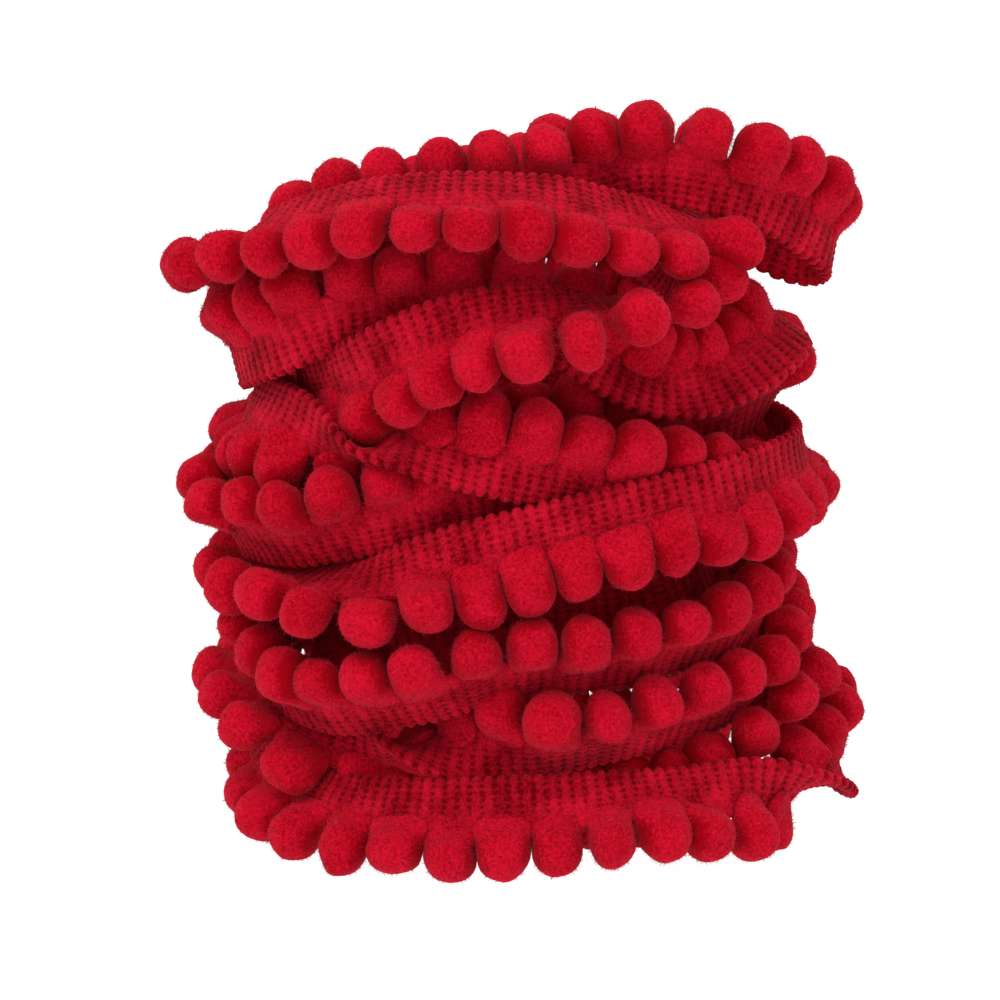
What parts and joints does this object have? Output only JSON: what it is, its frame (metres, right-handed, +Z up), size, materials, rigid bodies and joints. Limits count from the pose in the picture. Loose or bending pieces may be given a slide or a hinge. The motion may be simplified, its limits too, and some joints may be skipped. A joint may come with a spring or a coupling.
{
  "type": "roll of pompom trim",
  "caption": "Knitted tape edged with pompoms, wound by hand into a loose, hollow, standing roll with one free loop at the top.",
  "frame": {"origin": "centre of the bounding box's underside, on the surface that the roll stands on", "axes": "+Z up along the roll; -Y towards the viewer in front; +X to the right, towards the loose loop"},
  "size_m": [0.141, 0.1092, 0.1476],
  "materials": {
    "yarn": "red felted yarn, matt and fuzzy"
  },
  "bodies": {
    "root": {"pompom_trim": "yarn"}
  },
  "joints": []
}
